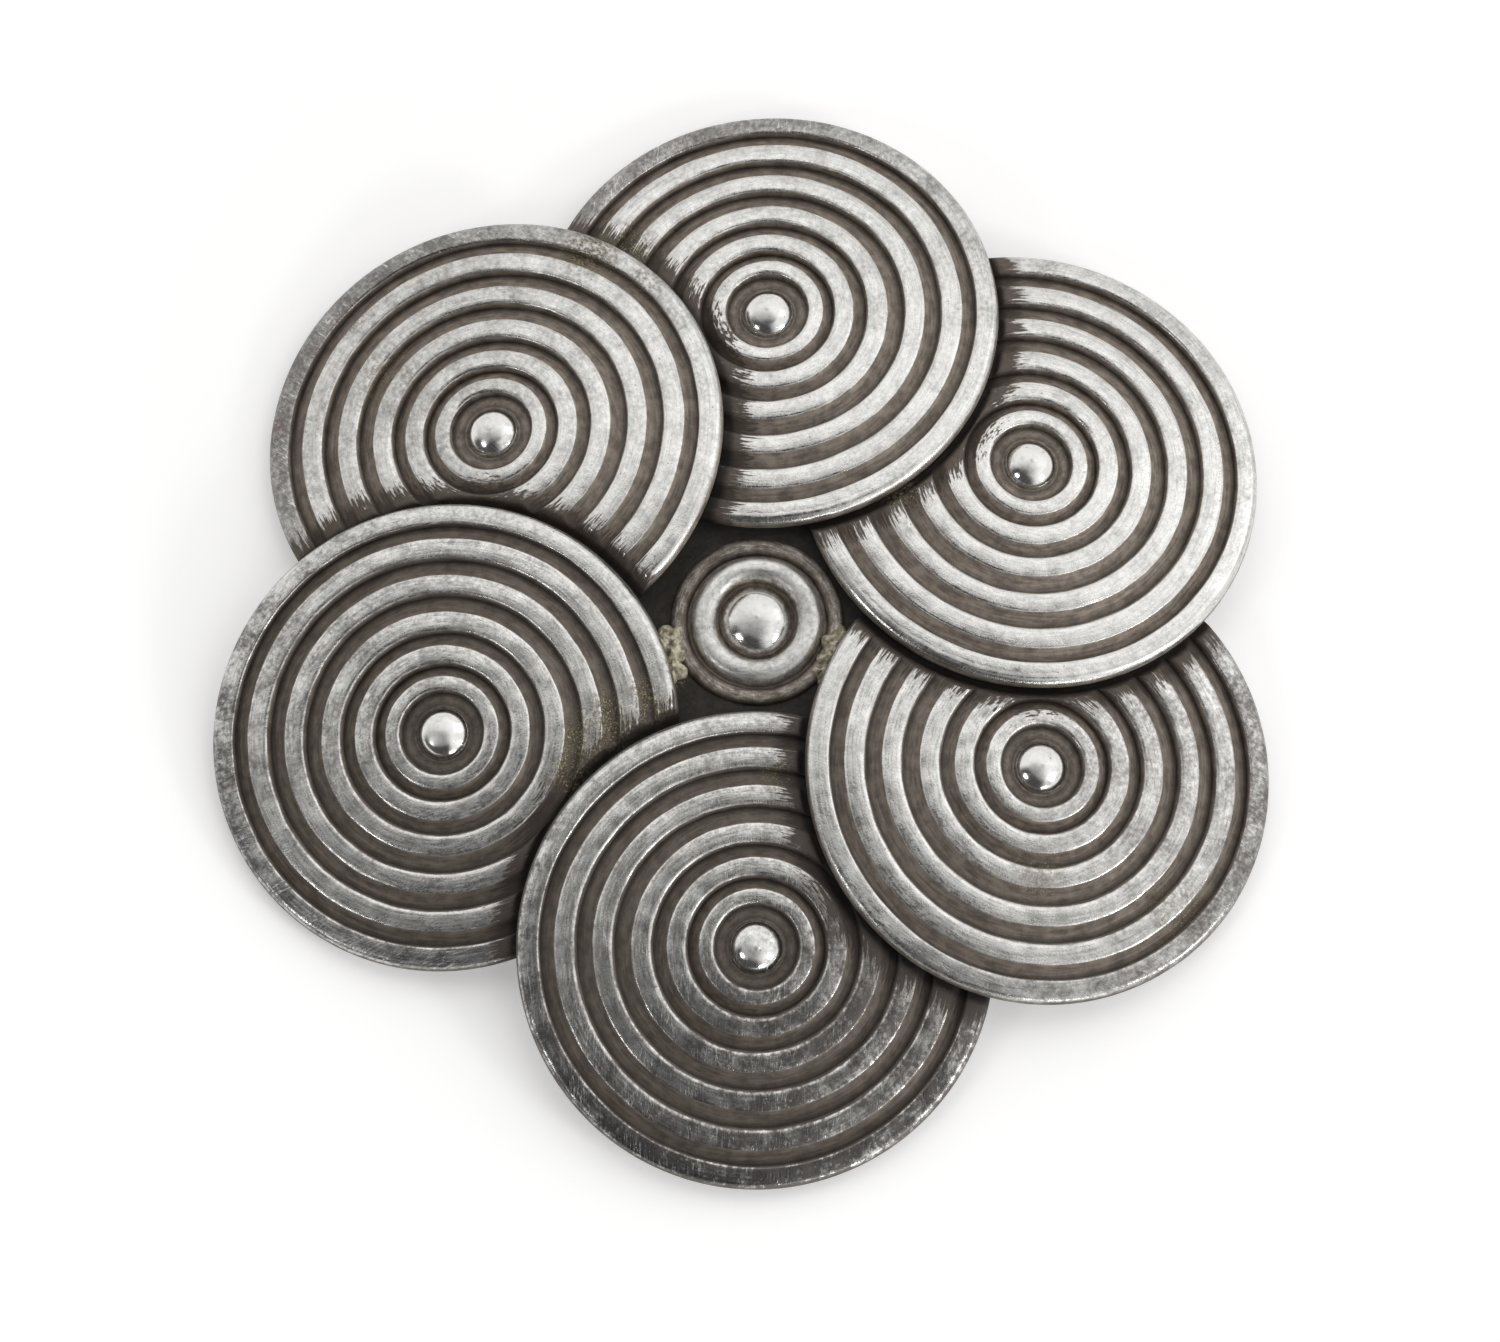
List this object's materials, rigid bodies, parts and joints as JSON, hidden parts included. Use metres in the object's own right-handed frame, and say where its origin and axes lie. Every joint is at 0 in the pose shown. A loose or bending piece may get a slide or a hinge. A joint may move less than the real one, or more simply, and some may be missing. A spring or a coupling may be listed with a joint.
{
  "type": "silver brooch",
  "caption": "Domed silver brooch: round discs of raised concentric ridges lapped in a ring round a small boss, with a plain bar pin on the back.",
  "frame": {"origin": "middle of the box round the brooch, on the plane that its outer rims stand on", "axes": "+Z out of the face, +Y towards the top disc, +X to the right of someone who looks at the face"},
  "size_m": [0.0628, 0.0668, 0.0062],
  "materials": {
    "disc_silver": "worn solid silver, polished on the ridges, with dark brown tarnish in the grooves",
    "boss_silver": "worn solid silver, polished ball and ring over a dark tarnished base",
    "pin_silver": "plain satin silver, lightly tarnished"
  },
  "bodies": {
    "root": {"disc_upper_left": "disc_silver", "disc_top": "disc_silver", "disc_upper_right": "disc_silver", "disc_lower_right": "disc_silver", "disc_bottom": "disc_silver", "disc_lower_left": "disc_silver", "centre_boss": "boss_silver", "back_pin": "pin_silver"}
  },
  "joints": []
}
